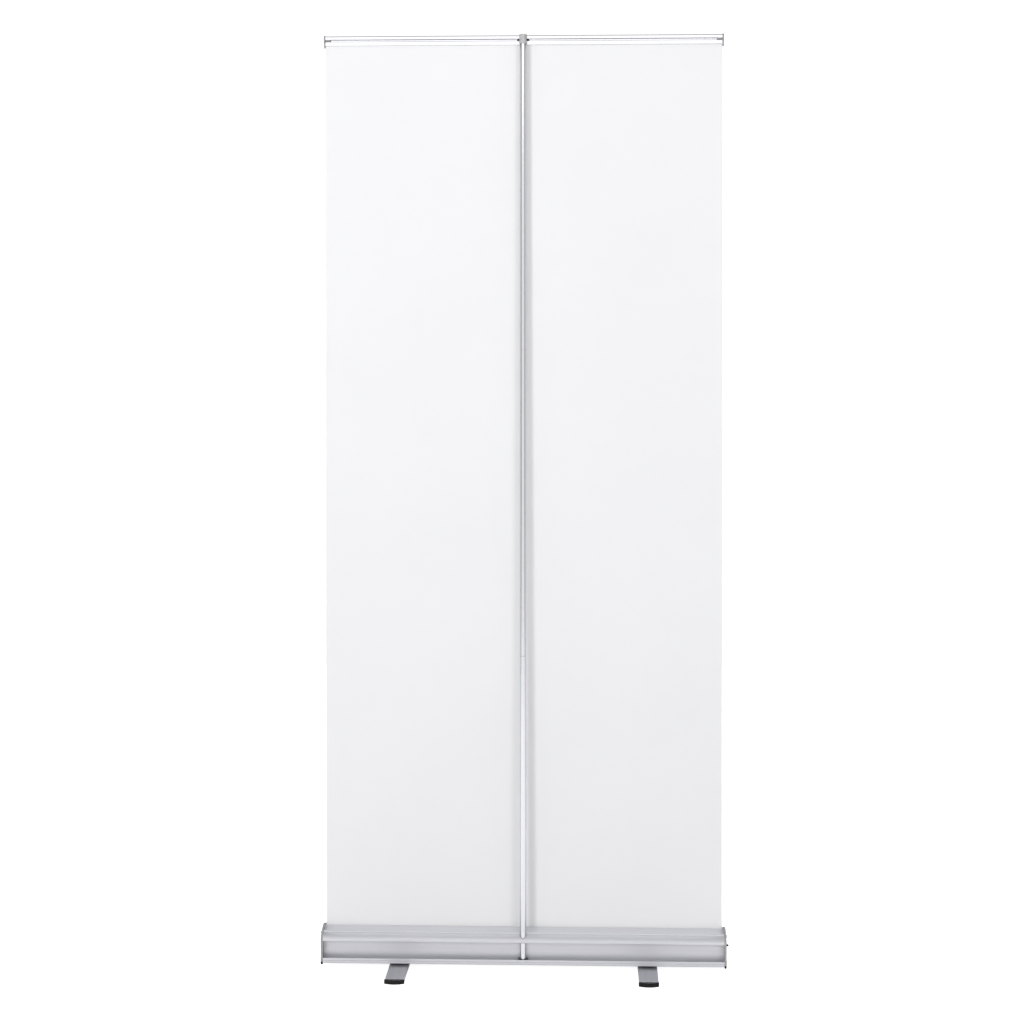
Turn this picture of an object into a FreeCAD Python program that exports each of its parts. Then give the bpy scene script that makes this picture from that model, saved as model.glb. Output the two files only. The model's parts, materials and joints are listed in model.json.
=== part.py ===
"""Roll-up banner stand: a sprung roller in a cassette, a three-section pole, a clamp rail and two feet.

Frame: millimetres, Z up, origin on the floor under the middle of the cassette. X runs along the cassette.
+Y is the side that the printed face looks to, and -Y is the back, where the pole stands.
"""

import FreeCAD, Part

import math
import os

from FreeCAD import Vector

os.makedirs("parts", exist_ok=True)

X_AXIS, Y_AXIS, Z_AXIS = Vector(1, 0, 0), Vector(0, 1, 0), Vector(0, 0, 1)

# ---- Driving dimensions ----
graphic_width = 850.0
sheet_thick = 0.5
rail_top_z = 1995.0
rail_height = 20.0

housing_length = 856.0
housing_half_depth = 42.0
housing_z = 12.0            # underside of the cassette above the floor
floor_thick = 2.0
wall_thick = 1.8
slot_top = 71.3             # height of the slot's lips above the cassette's underside
cap_thick = 4.5
cap_overhang = 1.2          # how far an end plate stands out round the extrusion
pad_thick = 1.6
eyelet_r, eyelet_bore_r = 3.0, 1.2
rim_round = 0.8             # rounding of the end plates' and rail caps' outer edges

channel_back_y = -23.0      # rear face of the flat panel at the back of the pole channel
lip_inner_y = -40.2         # inner face of the channel's two lips
lower_lip_top = 11.0
lip_bead_r = 2.0            # bead that rounds the upper lip's lower edge
upper_lip_bottom = 46.0     # underside of that bead

pole_y = -31.0
pole_r = 6.5
pole_bore_r = 5.6
pole_hole_r = 7.0           # hole in the cassette's shoulder, drawn out to a point at the back
pole_hole_tip_y = -41.2
pole_bottom_z = 16.0
head_r = 8.0
head_height = 20.0
section_gap = 0.2           # hairline joint between two pole sections
ferrule_r = 5.52
ferrule_bore_r = 4.2
ferrule_reach = 30.0        # how far a ferrule goes into the tube above and below its joint
bungee_r = 2.0

roller_y = 16.5
roller_z = housing_z + 31.0
roller_r = 14.5
roller_bore_r = 13.3
wraps_r = 15.5
roller_half = 425.5
plug_r = 13.25
plug_flange = 1.0
shaft_r = 4.0
running_gap = 0.08
shaft_end_x = -120.0
spring_r = 8.5
spring_wire_r = 0.9
spring_turns = 34
stub_r = 5.0
stub_bore_r = 2.6
lock_pin_r = 2.3
lock_pin_out = 7.7          # how far the pin stands out of the end plate at rest

foot_x = 265.0
foot_width = 41.0
foot_half_bar = 142.0
foot_tip = 9.0              # how far an end cap reaches past the bar
foot_top_z = 8.4
foot_bar_bottom_z = 1.0
foot_plate = 2.5
foot_side = 2.2
foot_cap_width = 42.6
foot_cap_top_z = 8.8
bolt_r = 4.0

rail_y = -16.1              # the graphic's middle plane where the rail clamps it
rail_half = 425.0
rail_cap_thick = 3.0
graphic_y = 0.4             # the graphic's middle plane in the slot

# ---- Worked out from them ----
housing_half = housing_length / 2
plate_out_x = housing_half + cap_thick
rail_bottom_z = rail_top_z - rail_height
head_top_z = rail_top_z + 0.5
pole_top_z = head_top_z - head_height
section_length = (pole_top_z - pole_bottom_z) / 3
slot_z = housing_z + slot_top


# ---- Helpers ----
def outline(start, *moves):
    """A closed face across the X axis.

    A move of 2 numbers is a line to (y, z), and one of 4 is an arc through its first (y, z) to its second.
    """
    edges, here = [], Vector(0, *start)
    for move in [*moves, start]:
        there = Vector(0, *move[-2:])
        if len(move) == 4:
            edges.append(Part.Arc(here, Vector(0, *move[:2]), there).toShape())
        elif (there - here).Length > 1e-6:
            edges.append(Part.LineSegment(here, there).toShape())
        here = there
    return Part.Face(Part.Wire(edges))


def along_x(face, x_from, x_to):
    """A face across the X axis, drawn out from x_from to x_to."""
    face = face.copy()
    face.translate(Vector(x_from, 0, 0))
    return face.extrude(Vector(x_to - x_from, 0, 0))


def raised(*move):
    """A (y, height above the cassette's underside) move, or an arc's pair of them, in the part's frame."""
    return tuple(v + housing_z if n % 2 else v for n, v in enumerate(move))


def rod_x(radius, x_from, x_to, y=roller_y, z=roller_z):
    return Part.makeCylinder(radius, x_to - x_from, Vector(x_from, y, z), X_AXIS)


def rod_z(radius, z_from, z_to, x=0.0, y=pole_y):
    return Part.makeCylinder(radius, z_to - z_from, Vector(x, y, z_from), Z_AXIS)


def tube_z(radius, bore, z_from, z_to, x=0.0, y=pole_y):
    return rod_z(radius, z_from, z_to, x, y).cut(rod_z(bore, z_from - 1, z_to + 1, x, y))


def block(x_from, x_to, y_from, y_to, z_from, z_to):
    return Part.makeBox(x_to - x_from, y_to - y_from, z_to - z_from, Vector(x_from, y_from, z_from))


def hexagon(across_flats, centre, normal, length):
    """A hexagonal prism from centre along normal."""
    turn = FreeCAD.Rotation(Z_AXIS, normal)
    corner = across_flats / math.sqrt(3)
    points = [
        centre + turn.multVec(Vector(corner * math.cos(a), corner * math.sin(a), 0))
        for a in [math.radians(60 * n) for n in range(7)]
    ]
    return Part.Face(Part.makePolygon(points)).extrude(normal * length)


def soften(shape, radius, x):
    """Rounds the edges that lie flat in the plane at x."""
    return shape.makeFillet(radius, [e for e in shape.Edges if e.BoundBox.XMin > x - 0.01])


def mirrored(shape):
    return shape.mirror(Vector(0, 0, 0), X_AXIS)


def save(name, *solids):
    """Writes one node's STEP. Several solids make a group of separate pieces."""
    for solid in solids:
        if not solid.isValid() or len(solid.Solids) != 1:
            raise ValueError(f"{name}: {len(solid.Solids)} solids, valid {solid.isValid()}")
    shape = solids[0].Solids[0] if len(solids) == 1 else Part.makeCompound([s.Solids[0] for s in solids])
    shape.exportStep(f"parts/{name}.step")


# ---- Cassette ----
def cassette_silhouette():
    """The extrusion's outer line with its channel and slot filled in. A bead edges the shoulder's top."""
    return outline(
        raised(-40.0, 0.0),
        raised(-41.41, 0.59, -42.0, 2.0),
        raised(-42.0, 52.2),
        raised(-36.6, 58.3, -25.2, 62.5),
        raised(-24.8, 64.0),
        raised(-23.8, 65.4, -22.0, 65.1),
        raised(-5.0, slot_top + 0.5),
        raised(5.8, slot_top + 0.4),
        raised(12.0, slot_top - 0.6),
        raised(33.5, 59.6, 42.0, 36.0),
        raised(42.0, 5.0),
        raised(40.54, 1.46, 37.0, 0.0),
    )


def channel_void():
    """The open channel along the back that the folded pole is stored in, up to the inside of the shoulder."""
    return outline(
        raised(-50.0, lower_lip_top),
        raised(lip_inner_y, lower_lip_top),
        raised(lip_inner_y, floor_thick),
        raised(channel_back_y, floor_thick),
        raised(channel_back_y, 61.2),
        raised(-35.4, 57.0, lip_inner_y, 51.6),
        raised(lip_inner_y, upper_lip_bottom + lip_bead_r),
        raised(-50.0, upper_lip_bottom + lip_bead_r),
    )


def roller_void():
    """The closed chamber that the roller turns in."""
    panel_y = channel_back_y + wall_thick
    return outline(
        raised(panel_y, floor_thick),
        raised(panel_y, 63.2),
        raised(-5.0, slot_top - 2.0),
        raised(11.6, slot_top - 2.4),
        raised(32.2, 58.3, 40.2, 36.0),
        raised(40.2, 6.8),
        raised(35.4, floor_thick),
    )


def grooves():
    """Fine lines that run along the extrusion: one on the rear lip and three low on the front."""
    depth, half = 0.8, 0.8
    cuts = [
        outline(raised(-42.2, 6.0 - half), raised(-42.0 + depth, 6.0), raised(-42.2, 6.0 + half))
    ]
    for height in (13.0, 18.0, 23.0):
        cuts.append(
            outline(raised(42.2, height - half), raised(42.0 - depth, height), raised(42.2, height + half))
        )
    return cuts


screw_ports = [(-18.6, 5.3), (-18.6, 59.6), (36.9, 7.6), (30.0, 56.6)]
port_r, port_bore_r = 3.6, 1.7
slot_beads = [(-4.8, slot_top - 1.2), (5.6, slot_top - 1.3)]
slot_bead_r = 1.6


def pole_hole():
    """The hole in the shoulder that the pole goes down through. It is round, with a point at the back."""
    low_z = housing_z + upper_lip_bottom + 2 * lip_bead_r + 0.1
    hole = rod_z(pole_hole_r, low_z, housing_z + 75)
    reach = pole_y - pole_hole_tip_y
    cosine = pole_hole_r / reach
    half, back = pole_hole_r * math.sqrt(1 - cosine**2), pole_y - pole_hole_r * cosine
    corners = [(-half, back), (0, pole_hole_tip_y), (half, back), (0, pole_y), (-half, back)]
    point = Part.Face(Part.makePolygon([Vector(x, y, low_z) for x, y in corners]))
    return hole.fuse(point.extrude(Z_AXIS * (housing_z + 75 - low_z)))


def housing():
    """The extruded cassette. Beads edge its slot and upper lip, and four screw ports run its whole length."""
    profile = cassette_silhouette().cut(channel_void()).cut(roller_void())
    slot = [raised(-3.6, 67.0), raised(4.4, 67.0), raised(4.4, 74.0), raised(-3.6, 74.0)]
    profile = profile.cut(outline(*slot))
    for groove in grooves():
        profile = profile.cut(groove)
    solid = along_x(profile, -housing_half, housing_half)
    lip_bead_z = housing_z + upper_lip_bottom + lip_bead_r
    solid = solid.fuse(rod_x(lip_bead_r, -housing_half, housing_half, -42.0 + lip_bead_r, lip_bead_z))
    for y, height in slot_beads:
        solid = solid.fuse(rod_x(slot_bead_r, -housing_half, housing_half, y, housing_z + height))
    for y, height in screw_ports:
        solid = solid.fuse(rod_x(port_r, -housing_half, housing_half, y, housing_z + height))
    for y, height in screw_ports:
        solid = solid.cut(rod_x(port_bore_r, -housing_half - 1, housing_half + 1, y, housing_z + height))
    solid = solid.cut(pole_hole())
    for x in (-foot_x, foot_x):
        solid = solid.cut(rod_z(bolt_r + 0.1, housing_z - 1, housing_z + 5, x, 0))
    for x in seat_screw_x:
        solid = solid.cut(rod_z(seat_screw_r + 0.1, housing_z - 1, housing_z + 4, x))
    return solid.removeSplitter()


def end_plate_blank():
    """The right end plate before its bores are cut, with its rear corner standing lower than the rest."""
    blank = along_x(cassette_silhouette().makeOffset2D(cap_overhang), housing_half, plate_out_x)
    blank = soften(blank, rim_round, plate_out_x)
    low_z = housing_z - cap_overhang - pad_thick
    corner = block(housing_half, plate_out_x - 0.4, -41.6, corner_y, low_z, corner_z - 0.5)
    corner = corner.makeFillet(0.6, [e for e in corner.Edges if e.BoundBox.ZMax < low_z + 0.01])
    return blank.fuse(corner)


corner_y, corner_z = -37.5, housing_z + 3.4     # front and top of the soft corner piece


def corner_box():
    return block(housing_half - 1, plate_out_x + 1, -50.0, corner_y, 0.0, corner_z)


def eyelet():
    """A ring at the right end of the slot, for a tether. A short neck joins it to the end plate."""
    centre = Vector(housing_half - 1.0, -17.0, slot_z + 0.7)
    ring = Part.makeCylinder(eyelet_r, 3.0, centre, Y_AXIS)
    neck = block(housing_half + 0.05, housing_half + 1.9, -17.0, -14.0, slot_z - 4.0, slot_z)
    return ring.fuse(neck).cut(Part.makeCylinder(eyelet_bore_r, 5.0, centre - Y_AXIS, Y_AXIS))


def end_plate(side):
    """A plate that closes one end of the extrusion, with a boss on the roller's axis and an eyelet.

    side is -1 at the left and 1 at the right.
    """
    plate = end_plate_blank().cut(corner_box())
    plate = plate.fuse(rod_x(9.0, housing_half - 0.8, housing_half + 1))
    plate = plate.fuse(rod_x(8.0, plate_out_x - 1, plate_out_x + 0.8))
    plate = plate.cut(rod_x(shaft_r if side < 0 else stub_r, housing_half - 5, plate_out_x + 5))
    for y, height in screw_ports:
        plate = plate.cut(rod_x(port_bore_r + 0.2, housing_half - 1, plate_out_x + 1, y, housing_z + height))
    plate = plate.fuse(eyelet()).removeSplitter()
    return plate if side > 0 else mirrored(plate)


def end_pad(side):
    """The soft rear corner of an end plate. It stands a little below the plate."""
    pad = end_plate_blank().common(corner_box())
    return pad if side > 0 else mirrored(pad)


def end_plate_screws(side):
    """Four pan-head screws that hold an end plate to the extrusion's screw ports."""
    screws = []
    for y, height in screw_ports:
        z = housing_z + height
        head = rod_x(3.2, plate_out_x, plate_out_x + 1.9, y, z)
        head = head.makeFillet(0.8, [e for e in head.Edges if e.BoundBox.XMin > plate_out_x + 1])
        slot_x = plate_out_x + 1.0
        for wide, tall in ((0.45, 2.0), (2.0, 0.45)):
            head = head.cut(block(slot_x, slot_x + 2, y - wide, y + wide, z - tall, z + tall))
        shank = rod_x(port_bore_r - 0.05, plate_out_x - 14, plate_out_x, y, z)
        screws.append(head.fuse(shank).removeSplitter())
    return screws if side > 0 else [mirrored(s) for s in screws]


# ---- Pole seat ----
seat_half = 10.5
seat_top = 11.5             # height of its top above the cassette's underside
seat_screw_x = (-8.7, 8.7)
seat_screw_r = 1.1


def pole_seat():
    """A moulded cradle on the channel's floor. It grips the pole's foot and is open to the back."""
    z_from, z_to = housing_z + floor_thick, housing_z + seat_top
    seat = block(-seat_half, seat_half, lip_inner_y + 0.3, channel_back_y - 0.3, z_from, z_to)
    seat = seat.makeFillet(1.5, [e for e in seat.Edges if e.BoundBox.ZLength > 5])
    seat = seat.makeChamfer(1.2, [e for e in seat.Edges if e.BoundBox.ZMin > z_to - 0.01])
    seat = seat.cut(rod_z(pole_r + 0.25, pole_bottom_z, z_to + 1))
    seat = seat.cut(block(-5.4, 5.4, lip_inner_y - 1, pole_y, pole_bottom_z, z_to + 1))
    for x in seat_screw_x:
        seat = seat.cut(rod_z(seat_screw_r, z_from - 1, z_from + 5, x))
    return seat


def pole_seat_screws():
    """Two screws driven up through the cassette's floor into the seat."""
    screws = []
    for x in seat_screw_x:
        head = Part.makeCylinder(2.2, 0.8, Vector(x, pole_y, housing_z - 0.8), Z_AXIS)
        screws.append(head.fuse(rod_z(seat_screw_r, housing_z - 0.4, housing_z + 6.5, x)).removeSplitter())
    return screws


# ---- Roller and its spring ----
def roller_tube():
    return rod_x(roller_r, -roller_half, roller_half).cut(rod_x(roller_bore_r, -500, 500))


def graphic_wraps():
    """The turns of the graphic that stay on the roller when the banner is up."""
    half = graphic_width / 2
    return rod_x(wraps_r, -half, half).cut(rod_x(roller_r + 0.02, -500, 500))


def bearing_plug(x_in, x_out, bore):
    """A nylon plug in the roller tube's right end, flanged at the outer end, with a bore of radius bore."""
    plug = rod_x(plug_r, x_in, roller_half)
    plug = plug.fuse(rod_x(roller_r, roller_half, roller_half + plug_flange))
    return plug.cut(rod_x(bore, x_out, roller_half + plug_flange + 1)).removeSplitter()


lock_wall_x = 398.0         # inner end of the right plug
lock_wall = 6.0
lock_socket_flats = 4.2
lock_tip_flats = 3.5
lock_gap = 1.0              # air between the pin's tip and its socket at rest


def roller_plug_right():
    """The idle end's plug. A hexagonal socket in its end wall takes the lock pin's tip."""
    plug = bearing_plug(lock_wall_x, lock_wall_x + lock_wall, stub_r + running_gap)
    socket_from = Vector(lock_wall_x - 1, roller_y, roller_z)
    return plug.cut(hexagon(lock_socket_flats, socket_from, X_AXIS, lock_wall + 2))


def roller_plug_left():
    return mirrored(bearing_plug(400.0, 399.0, shaft_r + running_gap))


def spring_shaft():
    """The fixed rod that the spring is wound round. Its square end, at the left, sets the tension."""
    rod = rod_x(shaft_r, -plate_out_x, shaft_end_x)
    half = 2.6
    square = block(
        -plate_out_x - 7.5, -plate_out_x, roller_y - half, roller_y + half, roller_z - half, roller_z + half
    )
    return rod.fuse(square).removeSplitter()


collar_x = (-150.0, -140.0)
steady_x = (-132.0, -124.0)


def spring_collar():
    """A collar fixed on the shaft, which holds the spring's still end."""
    return rod_x(11.0, *collar_x).cut(rod_x(shaft_r, collar_x[0] - 1, collar_x[1] + 1))


def shaft_steady():
    """A nylon disc in the roller that carries the shaft's free end."""
    disc = rod_x(plug_r, *steady_x)
    return disc.cut(rod_x(shaft_r + running_gap, steady_x[0] - 1, steady_x[1] + 1))


def torsion_spring():
    """The spring between the left plug and the collar, as an even helix."""
    x_from, x_to = -398.5, collar_x[0] - spring_wire_r - 0.3
    pitch = (x_to - x_from) / spring_turns
    helix = Part.makeHelix(pitch, x_to - x_from, spring_r)
    start = Vector(spring_r, 0, 0)
    across = Vector(0, 2 * math.pi * spring_r, pitch)
    ring = Part.Wire(Part.makeCircle(spring_wire_r, start, across))
    coil = Part.Wire(helix.Edges).makePipeShell([ring], True, True)
    coil.Placement = FreeCAD.Placement(Vector(x_from, roller_y, roller_z), FreeCAD.Rotation(Z_AXIS, X_AXIS))
    return coil


def stub_axle():
    """A hollow steel stub in the right end plate that the roller's idle end turns on."""
    x_from = lock_wall_x + lock_wall + 2.0
    stub = rod_x(stub_r, x_from, plate_out_x + 0.8)
    return stub.cut(rod_x(stub_bore_r, x_from - 1, plate_out_x + 5))


def lock_pin():
    """A plastic pin that slides in the stub axle. Pushed in, its hexagonal tip stops the roller."""
    tip_x = lock_wall_x + lock_wall + lock_gap
    shank_x = tip_x + 8.0
    tip = hexagon(lock_tip_flats, Vector(tip_x, roller_y, roller_z), X_AXIS, 9.0)
    shank = rod_x(lock_pin_r, shank_x, plate_out_x + lock_pin_out)
    pin = tip.fuse(shank).removeSplitter()
    end = [e for e in pin.Edges if e.BoundBox.XMin > plate_out_x + lock_pin_out - 0.01]
    return pin.makeFillet(0.9, end)


# ---- Swivel feet ----
def foot_section():
    """The foot bar's section, as a face across Y: a flat top, rounded shoulders and two skirts."""
    half = foot_width / 2
    inner, ceiling = half - foot_side, foot_top_z - foot_plate
    round_r = 1.6
    top, low = foot_top_z, foot_bar_bottom_z
    slack = round_r * (1 - math.sqrt(0.5))
    outer_points = [
        (-half, low),
        (-half, top - round_r),
        (-half + slack, top - slack, -half + round_r, top),
        (half - round_r, top),
        (half - slack, top - slack, half, top - round_r),
        (half, low),
        (inner, low),
        (inner, ceiling),
        (4.0, ceiling),
        (-4.0, ceiling),
        (-inner, ceiling),
        (-inner, low),
    ]
    edges, here = [], Vector(-half, 0, low)
    for move in [*outer_points[1:], outer_points[0]]:
        there = Vector(move[-2], 0, move[-1])
        if len(move) == 4:
            edges.append(Part.Arc(here, Vector(move[0], 0, move[1]), there).toShape())
        else:
            edges.append(Part.LineSegment(here, there).toShape())
        here = there
    return Part.Face(Part.Wire(edges))


def foot_bar(x):
    section = foot_section()
    section.translate(Vector(x, -foot_half_bar, 0))
    bar = section.extrude(Y_AXIS * (2 * foot_half_bar))
    return bar.cut(rod_z(bush_r, 0, 20, x, 0)).removeSplitter()


bush_r = 6.0


def foot_bush(x):
    """A flanged nylon bush pressed up into the foot's pivot hole."""
    ceiling = foot_top_z - foot_plate
    bush = rod_z(bush_r, ceiling, foot_top_z, x, 0)
    bush = bush.fuse(rod_z(9.0, ceiling - 0.8, ceiling, x, 0))
    return bush.cut(rod_z(bolt_r + running_gap, 0, 20, x, 0)).removeSplitter()


def foot_cap(x, end):
    """A moulded cap, bowed in plan, that the stand rests on. end is -1 at the back and 1 at the front."""
    half, bow = foot_cap_width / 2, 7.0
    y_bar, y_tip = foot_half_bar, foot_half_bar + foot_tip
    corners = [
        Vector(half, y_bar, 0),
        Vector(half, y_tip - bow, 0),
        Vector(-half, y_tip - bow, 0),
        Vector(-half, y_bar, 0),
    ]
    plan = [
        Part.LineSegment(corners[0], corners[1]).toShape(),
        Part.Arc(corners[1], Vector(0, y_tip, 0), corners[2]).toShape(),
        Part.LineSegment(corners[2], corners[3]).toShape(),
        Part.LineSegment(corners[3], corners[0]).toShape(),
    ]
    cap = Part.Face(Part.Wire(plan)).extrude(Z_AXIS * foot_cap_top_z)
    tips = [e for e in cap.Edges if e.BoundBox.ZLength > 5 and e.BoundBox.YMin > y_bar + 1]
    cap = cap.makeFillet(2.4, tips)
    top_edges = [e for e in cap.Edges if e.BoundBox.ZMin > foot_cap_top_z - 0.01]
    upper = [e for e in top_edges if e.BoundBox.YMax > y_bar + 0.01]
    cap = cap.makeFillet(1.8, upper)
    floor_edges = [e for e in cap.Edges if e.BoundBox.ZMax < 0.01 and e.BoundBox.YMax > y_bar + 0.01]
    cap = cap.makeFillet(1.4, floor_edges)
    inner, ceiling = foot_width / 2 - foot_side - 0.1, foot_top_z - foot_plate - 0.1
    cap = cap.fuse(block(-inner, inner, y_bar - 14, y_bar, foot_bar_bottom_z, ceiling)).removeSplitter()
    if end < 0:
        cap.rotate(Vector(0, 0, 0), Z_AXIS, 180)
    cap.translate(Vector(x, 0, 0))
    return cap


nut_top_z = housing_z + floor_thick + 1.2 + 5.5


def foot_bolt(x):
    """The pivot bolt. Its shank goes up through the cassette's floor."""
    head_z = foot_top_z - foot_plate - 0.9
    head = Part.makeCylinder(7.0, 3.4, Vector(x, 0, head_z - 3.4), Z_AXIS)
    head = head.makeFillet(1.4, [e for e in head.Edges if e.BoundBox.ZMax < head_z - 3.3])
    bolt = head.fuse(rod_z(bolt_r, head_z, nut_top_z + 1.5, x, 0)).removeSplitter()
    return bolt.cut(hexagon(4.0, Vector(x, 0, head_z - 4.4), Z_AXIS, 3.0))


def foot_spacer(x):
    """A friction washer between the foot and the cassette."""
    return tube_z(12.0, bolt_r, foot_top_z + 0.1, housing_z, x, 0)


def nut_washer(x):
    z = housing_z + floor_thick
    return tube_z(9.0, bolt_r, z, z + 1.2, x, 0)


def foot_nut(x):
    z = housing_z + floor_thick + 1.2
    nut = hexagon(13.0, Vector(x, 0, z), Z_AXIS, nut_top_z - z)
    return nut.cut(rod_z(bolt_r, z - 1, nut_top_z + 1, x, 0))


# ---- Pole ----
def section_span(n):
    """The bottom and top of pole section n, from 0 at the foot to 2 at the head."""
    z_from = pole_bottom_z + n * section_length
    return z_from, z_from + section_length - (section_gap if n < 2 else 0.0)


def pole_tube(n):
    """One aluminium tube, with its ends eased."""
    z_from, z_to = section_span(n)
    tube = rod_z(pole_r, z_from, z_to)
    tube = tube.makeChamfer(0.35, [e for e in tube.Edges if e.BoundBox.ZLength < 0.01])
    return tube.cut(rod_z(pole_bore_r, z_from - 1, z_to + 1))


def ferrule(n):
    """The sleeve fixed in the top of section n, which the next section pulls off."""
    joint_z = section_span(n)[1]
    sleeve = rod_z(ferrule_r, joint_z - ferrule_reach, joint_z + ferrule_reach)
    sleeve = sleeve.makeChamfer(0.6, [e for e in sleeve.Edges if e.BoundBox.ZMin > joint_z + 1])
    return sleeve.cut(rod_z(ferrule_bore_r, joint_z - 50, joint_z + 50))


def foot_plug():
    """The plug in the pole's lower end, which stands in the seat and holds the elastic cord's knot."""
    z = pole_bottom_z
    return rod_z(pole_bore_r - 0.05, z + 0.4, z + 16).cut(rod_z(bungee_r, z + 6, z + 20))


def elastic_cord():
    """The elastic cord that runs through the three sections and draws them together."""
    return rod_z(bungee_r - 0.02, pole_bottom_z + 7, pole_top_z - 14)


hook_low, hook_high, hook_tip = -11.6, -7.8, -2.5      # heights from the rail's top
hook_root_y = pole_y + 6.0
hook_front_y = rail_y - 4.1


def rail_hook():
    """A dark cross-bar on a short neck in front of the pole's head. Its raised tip carries the rail."""
    low, high = rail_top_z + hook_low, rail_top_z + hook_high
    bar = block(-13.0, 13.0, hook_front_y - 1.7, hook_front_y, low, high)
    bar = bar.makeFillet(0.8, [e for e in bar.Edges if e.BoundBox.YLength > 1])
    neck = block(-4.5, 4.5, hook_root_y, hook_front_y - 0.5, low, high)
    tip = block(-4.5, 4.5, hook_front_y - 1.2, hook_front_y, low, rail_top_z + hook_tip)
    return bar.fuse(neck).fuse(tip).removeSplitter()


def pole_head():
    """The moulded head on the pole. The hook's neck is fixed in a pocket in its front."""
    head = rod_z(head_r, pole_top_z, head_top_z)
    head = head.makeFillet(0.8, [e for e in head.Edges if e.BoundBox.ZLength < 0.01])
    head = head.fuse(rod_z(pole_bore_r - 0.05, pole_top_z - 25, pole_top_z + 1))
    low, high = rail_top_z + hook_low, rail_top_z + hook_high
    head = head.cut(block(-4.5, 4.5, hook_root_y, pole_y + head_r + 1, low, high))
    return head.cut(rod_z(bungee_r, pole_top_z - 30, pole_top_z - 12)).removeSplitter()


# ---- Clamp rail ----
bead_r, socket_r, socket_wall = 1.8, 1.9, 1.4
hinge_y, hinge_z = rail_y + 1.0, rail_top_z - socket_r - socket_wall - 0.1


def behind(*move):
    """A (distance behind the graphic, height from the rail's top) move, or an arc's pair of them."""
    return tuple(rail_top_z + v if n % 2 else rail_y - v for n, v in enumerate(move))


def wedge(from_deg, to_deg, radius):
    """A sector round the jaw's hinge, with angles from +Y towards +Z."""
    def at(deg, r):
        a = math.radians(deg)
        return hinge_y + r * math.cos(a), hinge_z + r * math.sin(a)

    middle = (from_deg + to_deg) / 2
    return outline((hinge_y, hinge_z), at(from_deg, radius), (*at(middle, radius), *at(to_deg, radius)))


def rail_back():
    """The rail's rear half: a flange behind the hook's tip, a flat wall and the jaw's hinge socket."""
    ceiling, flange_low, flange_in, flange_out = -2.2, -7.5, 5.7, 6.5
    profile = outline(
        behind(0.3, -rail_height),
        behind(2.5, -rail_height),
        behind(2.9, -rail_height + 0.4),
        behind(2.9, -12.0),
        behind(2.0, -11.2),
        behind(2.0, ceiling),
        behind(flange_in, ceiling),
        behind(flange_in, flange_low),
        behind(flange_out, flange_low),
        behind(flange_out, -2.4),
        behind(5.8, -0.7, 4.1, 0.0),
        behind(-1.0, 0.0),
        behind(-1.0, -3.0),
        behind(0.3, -6.0),
    )
    body = along_x(profile, -rail_half, rail_half)
    body = body.fuse(rod_x(socket_r + socket_wall, -rail_half, rail_half, hinge_y, hinge_z))
    body = body.cut(rod_x(socket_r, -rail_half - 1, rail_half + 1, hinge_y, hinge_z))
    body = body.cut(along_x(wedge(-112, -5, 6.0), -rail_half - 1, rail_half + 1))
    return body.removeSplitter()


def rail_jaw():
    """The rail's front half. It clamps the graphic and swings up and forward about its bead."""
    front, rear = 3.4, 0.3
    jaw_top = hinge_z - rail_top_z - 3.7
    plate = outline(
        behind(-rear, -rail_height + 0.5),
        behind(-rear, jaw_top),
        behind(-front + 0.7, jaw_top),
        behind(-front, jaw_top - 0.7),
        behind(-front - 0.45, -rail_height / 2 - 2, -front + 0.9, -rail_height + 0.5),
    )
    neck = outline(
        behind(-rear - 0.1, jaw_top - 0.5),
        behind(-rear - 0.1, hinge_z - rail_top_z),
        behind(-rear - 1.5, hinge_z - rail_top_z),
        behind(-rear - 1.5, jaw_top - 0.5),
    )
    ends = (-rail_half + 0.3, rail_half - 0.3)
    jaw = along_x(plate, *ends).fuse(along_x(neck, *ends))
    return jaw.fuse(rod_x(bead_r, *ends, hinge_y, hinge_z)).removeSplitter()


def rail_end_cap(side):
    """A moulded end cap with a plug in the rail's rear channel. Its plate hangs a little below the rail."""
    plate = outline(
        behind(-2.4, -rail_height - 4.5),
        behind(2.2, -rail_height - 4.5),
        behind(3.2, -rail_height - 3.5),
        behind(3.2, -15.0),
        behind(7.3, -12.8),
        behind(7.3, -3.0),
        behind(6.1, 0.1, 3.2, 1.3),
        behind(-1.4, 1.3),
        behind(-3.9, 0.3, -4.9, -2.2),
        behind(-4.9, -rail_height + 1.0),
        behind(-3.4, -rail_height - 3.5),
    )
    cap = along_x(plate, rail_half, rail_half + rail_cap_thick)
    cap = soften(cap, rim_round, rail_half + rail_cap_thick)
    plug = outline(behind(2.4, -11.0), behind(5.4, -11.0), behind(5.4, -3.0), behind(2.4, -3.0))
    plug = along_x(plug, rail_half - 12.0, rail_half + 1.0)
    plug = plug.makeFillet(1.4, [e for e in plug.Edges if e.BoundBox.XMax < rail_half - 11.9])
    cap = cap.fuse(plug).removeSplitter()
    return cap if side > 0 else mirrored(cap)


# ---- Graphic ----
sheet_low_z = roller_z
sheet_high_z = rail_top_z - 8.0


def graphic_sheet():
    """The sheet from where it leaves the roller, up through the slot and back to the rail's clamp."""
    half = sheet_thick / 2
    low, bend, clamp, high = sheet_low_z, slot_z - 1.0, rail_bottom_z, sheet_high_z
    profile = outline(
        (graphic_y - half, low),
        (graphic_y - half, bend),
        (rail_y - half, clamp),
        (rail_y - half, high),
        (rail_y + half, high),
        (rail_y + half, clamp),
        (graphic_y + half, bend),
        (graphic_y + half, low),
    )
    return along_x(profile, -graphic_width / 2, graphic_width / 2)


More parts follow.
